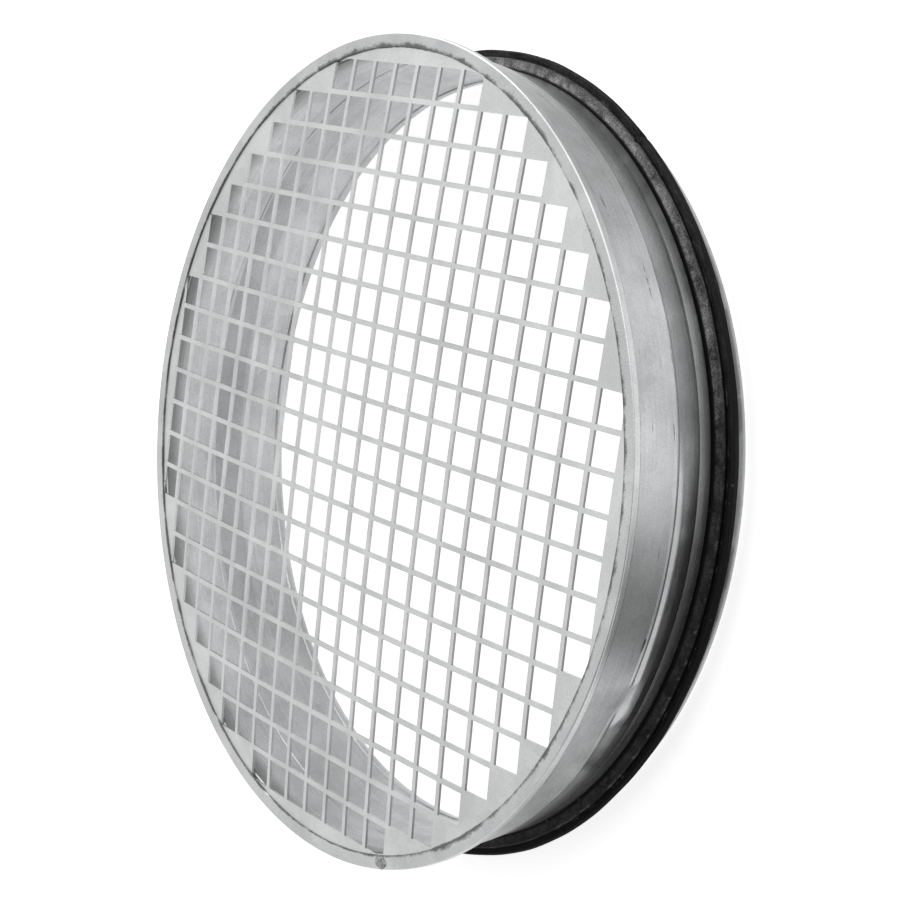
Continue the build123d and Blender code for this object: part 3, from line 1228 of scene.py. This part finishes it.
@dataclass
class Studio:
    """White paper floor, soft lights, black cards and the camera at the photograph's place."""

    floor_half: float = 6.0
    floor_z: float = -0.0002
    card_z: float = 0.0005
    card_steps: int = 32
    flag_steps: int = 8
    lamp_aim: Point = (0.0, 0.0, 0.03)
    camera_at: Point = (544.25, 105.32, 425.87)
    camera_aim: Point = (15.82, 3.69, 24.25)
    camera_roll: float = 89.12
    camera_clip: Span = (0.01, 50.0)
    lens: float = 84.61
    sensor: float = 36.0
    horizon_light: float = 0.12
    zenith_light: float = 0.5
    backdrop_light: float = 1.0
    lamps: tuple[Lamp, ...] = (
        Lamp("key_light", 72.0, 42.0, 1.3, 1.4, 5.5),
        Lamp("fill_light", -78.0, 30.0, 1.4, 0.8, 1.0),
        Lamp("edge_light", 128.0, 22.0, 0.9, 0.6, 2.3),
    )
    cards: tuple[Card, ...] = (
        Card("side_card", 14.0, -18.0, -33.5, 0.72),
        Card("low_card", -38.0, -56.0, -80.0, 0.32),
        Card("high_card", 28.0, 62.0, 130.0, 0.5),
        Card("foot_card", 34.0, -10.0, -60.0, 1.0, far=152.0),
        Card("foot_card_low", 0.0, -42.0, -110.0, 1.0, far=151.0),
        Card("foot_card_high", 115.0, 26.0, -25.0, 0.72, far=142.0),
        Card("bore_card", 165.0, 225.0, 300.0, 0.25, near=20.0, far=121.0),
    )
    flag_place: Point = (-42.0, 46.0, 0.8)
    flag_size: Span = (1.5, 0.8)
    flag_depth: float = 0.9

    def floor(self, finish: StudioPaper) -> None:
        """Lay the floor just under the hem.

        Args:
            finish: The paper's finish.
        """
        h, z = self.floor_half, self.floor_z
        mesh = bpy.data.meshes.new("floor")
        mesh.from_pydata([(-h, -h, z), (h, -h, z), (h, h, z), (-h, h, z)], [], [(0, 1, 2, 3)])
        made = bpy.data.objects.new("floor", mesh)
        bpy.context.scene.collection.objects.link(made)
        made.data.materials.append(finish.material())

    def hang(self, made: Piece, azimuth: float, elevation: float, away: float) -> None:
        """Hang a lamp or flag in the room so that it faces the cap.

        Args:
            made: The lamp or flag.
            azimuth: Degrees round the axis from +X.
            elevation: Degrees above the floor.
            away: Distance in metres.
        """
        a, e = math.radians(azimuth), math.radians(elevation)
        towards = Vector((math.cos(a) * math.cos(e), math.sin(a) * math.cos(e), math.sin(e)))
        made.location = towards * away
        made.rotation_mode = "QUATERNION"
        made.rotation_quaternion = towards.to_track_quat("Z", "Y")

    def light(self, lamp: Lamp) -> None:
        """Hang a soft light.

        Args:
            lamp: The light's name, place, size and power.
        """
        light = bpy.data.lights.new(lamp.name, "AREA")
        light.shape = "SQUARE"
        light.size = lamp.size
        light.energy = lamp.watts
        made = bpy.data.objects.new(lamp.name, light)
        self.hang(made, lamp.azimuth, lamp.elevation, lamp.away)
        made.location += Vector(self.lamp_aim)
        bpy.context.scene.collection.objects.link(made)

    def lay(self, card: Card) -> None:
        """Lay a black card by the cap that fades out to both ends, to give the metal form.

        Args:
            card: The card's name, place and depth.
        """
        points, shades = [], []
        for k in range(self.card_steps + 1):
            angle = card.start + (card.end - card.start) * k / self.card_steps
            a = math.radians(angle)
            side = card.start if (angle - card.peak) * (card.start - card.peak) > 0 else card.end
            fall = math.pi / 2 * (angle - card.peak) / (side - card.peak)
            for r in (card.near, card.far):
                points.append((r * math.cos(a) * MM, r * math.sin(a) * MM, self.card_z))
                shades.append(card.depth * math.cos(fall) ** 2)
        faces = [(2 * k, 2 * k + 1, 2 * k + 3, 2 * k + 2) for k in range(self.card_steps)]
        self.black(card.name, points, shades, faces)

    def flag(self) -> None:
        """Hang the black flag that darkens the rim's face and fades out to its edges."""
        steps, row = self.flag_steps, self.flag_steps + 1
        wide, high = self.flag_size
        points, shades = [], []
        for j in range(row):
            for k in range(row):
                points.append(((k / steps - 0.5) * wide, (j / steps - 0.5) * high, 0.0))
                fade = math.sin(math.pi * k / steps) * math.sin(math.pi * j / steps)
                shades.append(self.flag_depth * fade)
        faces = [(j * row + k, j * row + k + 1, (j + 1) * row + k + 1, (j + 1) * row + k)
                 for j in range(steps) for k in range(steps)]
        self.hang(self.black("rim_flag", points, shades, faces), *self.flag_place)

    def black(self, name: str, points: list[Point], shades: list[float],
              faces: list[tuple[int, ...]]) -> Piece:
        """Make a piece of black gauze that only reflections see.

        Args:
            name: Name of the new object.
            points: Its points in metres.
            shades: How dense it is at each point.
            faces: Its faces.

        Returns:
            The new object.
        """
        mesh = bpy.data.meshes.new(name)
        mesh.from_pydata(points, [], faces)
        mesh.attributes.new(BlackGauze.shade, "FLOAT", "POINT").data.foreach_set("value", shades)
        made = bpy.data.objects.new(name, mesh)
        bpy.context.scene.collection.objects.link(made)
        made.visible_camera = False
        made.visible_diffuse = False
        made.visible_shadow = False
        made.data.materials.append(BlackGauze("black_gauze").material())
        return made

    def world(self) -> None:
        """Light the room from a soft dome, brighter overhead, and show it white where the floor ends."""
        made = bpy.data.worlds.new("studio")
        tree = emptied(made)
        seen_from = put(tree, "ShaderNodeTexCoord")
        height = put(tree, "ShaderNodeSeparateXYZ", inputs={0: seen_from.outputs["Generated"]})
        dome = put(tree, "ShaderNodeMapRange", inputs={
            "Value": height.outputs["Z"], "To Min": self.horizon_light, "To Max": self.zenith_light})
        strength = put(tree, "ShaderNodeMix", {"data_type": "FLOAT"}, {
            "Factor": seen_plainly(tree), 2: dome.outputs["Result"], 3: self.backdrop_light})
        sky = put(tree, "ShaderNodeBackground", inputs={
            "Color": linear(WHITE), "Strength": strength.outputs[0]})
        put(tree, "ShaderNodeOutputWorld", inputs={"Surface": sky.outputs[0]})
        bpy.context.scene.world = made

    def camera(self) -> None:
        """Set the camera where the photograph was taken from."""
        lens = bpy.data.cameras.new("camera")
        lens.lens = self.lens
        lens.sensor_width = self.sensor
        lens.clip_start, lens.clip_end = self.camera_clip
        made = bpy.data.objects.new("camera", lens)
        at, aim = Vector(self.camera_at) * MM, Vector(self.camera_aim) * MM
        made.location = at
        made.rotation_mode = "QUATERNION"
        made.rotation_quaternion = (aim - at).to_track_quat("-Z", "Y") @ Quaternion(
            (0, 0, 1), -math.radians(self.camera_roll))
        bpy.context.scene.collection.objects.link(made)
        bpy.context.scene.camera = made

    def build(self) -> None:
        """Set up floor, lights, cards, room and camera."""
        self.floor(StudioPaper("white_paper"))
        for lamp in self.lamps:
            self.light(lamp)
        for card in self.cards:
            self.lay(card)
        self.flag()
        self.world()
        self.camera()
        bpy.context.scene.view_settings.view_transform = "Standard"


def main() -> None:
    """Build the cap's pieces in order and report each one."""
    logging.basicConfig(level=logging.INFO, format="%(name)s: %(message)s")
    # The rolled barrel is the smoothest sheet, so it shows the room in soft bands along its length.
    # Its mask paints shade inside it, in the corner behind the disc.
    barrel = GalvanisedSteel("galvanised_barrel", dirt_and_shade=DirtAndShade(Soil.BARREL, radius_mm=126.4))
    # Punching leaves the disc's sheet duller and paler, an even light grey, with a thin line of painted
    # shade and dirt where the rim's lip meets it.
    punched = GalvanisedSteel("galvanised_punched_sheet", "#d8d9d9", "#bebfbf", roughness=0.42,
                              stretch=0.0, dirt_and_shade=DirtAndShade(Soil.RIM_EDGE, width_mm=0.7))
    # Folding rubs the rim brighter, and its lap holds a dark line of dirt and painted shade.
    folded = GalvanisedSteel("galvanised_rim", "#cfd0d0", "#b0b1b2", roughness=0.27, stretch=0.0,
                             dirt_and_shade=DirtAndShade(Soil.RIM_EDGE))
    # Welding burns the zinc off, which leaves a rough bead, mottled light and dark.
    scorched = GalvanisedSteel("tack_weld_steel", "#b0b0b0", "#2c2c2c", roughness=0.4, patch_mm=1.6,
                               grain_mm=0.4, stretch=0.0, bump_mm=0.2)
    rubber = DustyRubber("epdm_rubber")
    pieces = [*Sleeve().build(barrel), *MeshDisc().build(punched),
              *RimRing().build(folded, scorched), *Gasket().build(rubber)]
    Studio().build()
    for piece in pieces:
        log.info("%s: %d faces", piece.name, len(piece.data.polygons))


if __name__ == "__main__":
    main()
